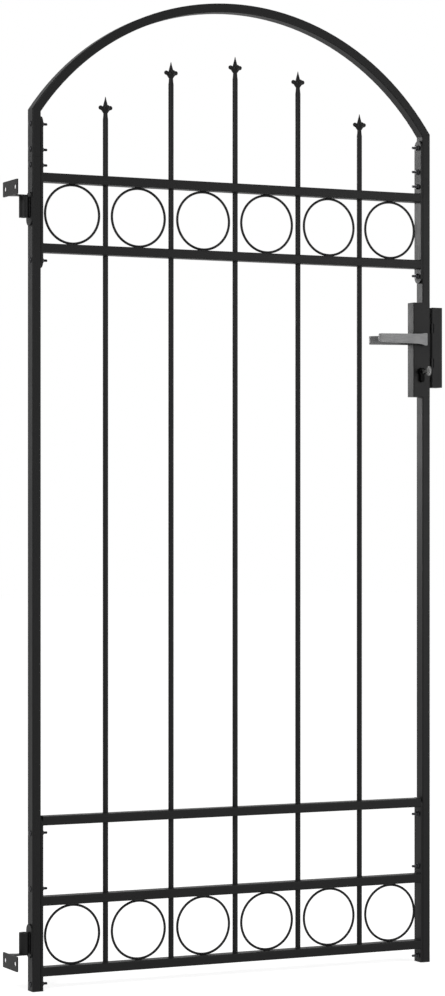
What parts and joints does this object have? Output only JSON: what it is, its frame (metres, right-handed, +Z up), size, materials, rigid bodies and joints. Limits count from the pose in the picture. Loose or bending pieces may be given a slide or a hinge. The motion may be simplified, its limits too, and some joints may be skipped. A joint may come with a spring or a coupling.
{
  "type": "arched steel garden gate",
  "caption": "Arched steel garden gate with round bars, rings between rails, spear points, pin hinges on wall brackets, a lever lock with its key, and a keeper.",
  "frame": {"origin": "on the wall-side face of the lower hinge bracket, midway between its two screw holes", "axes": "+X from the hinge side to the lock side, +Z up, front of the gate faces -Y"},
  "size_m": [1.0794, 0.1035, 2.1999],
  "materials": {
    "black_powder_coat": "satin black powder coat",
    "pin_steel": "oiled dark steel",
    "black_plastic": "matt black plastic",
    "lever_aluminium": "satin grey anodised",
    "zinc_plated_steel": "zinc plated",
    "cylinder_black": "black nickel",
    "key_nickel": "nickel plated"
  },
  "bodies": {
    "wall_side": {"lower_wall_bracket": "black_powder_coat", "upper_wall_bracket": "black_powder_coat", "lower_hinge_pin": "pin_steel", "upper_hinge_pin": "pin_steel", "keeper": "black_powder_coat"},
    "leaf": {"arch_bow": "black_powder_coat", "hinge_side_arch_leg": "black_powder_coat", "lock_side_arch_leg": "black_powder_coat", "hinge_stile": "black_powder_coat", "lock_stile_upper": "black_powder_coat", "lock_stile_lower": "black_powder_coat", "foot_caps": "black_plastic", "lower_hinge_plate": "black_powder_coat", "upper_hinge_plate": "black_powder_coat", "lower_hinge_barrel": "black_powder_coat", "upper_hinge_barrel": "black_powder_coat", "rail_1": "black_powder_coat", "rail_2": "black_powder_coat", "rail_3": "black_powder_coat", "rail_4": "black_powder_coat", "rail_5": "black_powder_coat", "bar_1": "black_powder_coat", "bar_2": "black_powder_coat", "bar_3": "black_powder_coat", "bar_4": "black_powder_coat", "bar_5": "black_powder_coat", "spear_point_1": "black_powder_coat", "spear_point_2": "black_powder_coat", "spear_point_3": "black_powder_coat", "spear_point_4": "black_powder_coat", "spear_point_5": "black_powder_coat", "upper_rings": "black_powder_coat", "lower_rings": "black_powder_coat", "hinge_side_upper_strip": "black_powder_coat", "lock_side_upper_strip": "black_powder_coat", "hinge_side_lower_strip": "black_powder_coat", "lock_side_lower_strip": "black_powder_coat", "lock_case": "black_powder_coat", "lock_cylinder": "cylinder_black", "lock_bolts": "zinc_plated_steel"},
    "handle": {"front_lever": "lever_aluminium", "back_lever": "lever_aluminium", "lever_spindle": "zinc_plated_steel"},
    "key": {"cylinder_plug": "cylinder_black", "key": "key_nickel"}
  },
  "joints": [
    {"name": "leaf_swing", "type": "hinge", "parent": "wall_side", "child": "leaf", "pos_m": [0.033, 0, 0], "axis": [0, 0, 1], "range_deg": [0, 90]},
    {"name": "lever_press", "type": "hinge", "parent": "leaf", "child": "handle", "pos_m": [1.0229, 0, 1.387], "axis": [0, -1, 0], "range_deg": [0, 40], "stiffness_Nm_per_rad": 0.8, "springref_deg": -28.65},
    {"name": "key_turn", "type": "hinge", "parent": "leaf", "child": "key", "pos_m": [1.0229, 0, 1.312], "axis": [0, -1, 0], "range_deg": [0, 360]}
  ]
}
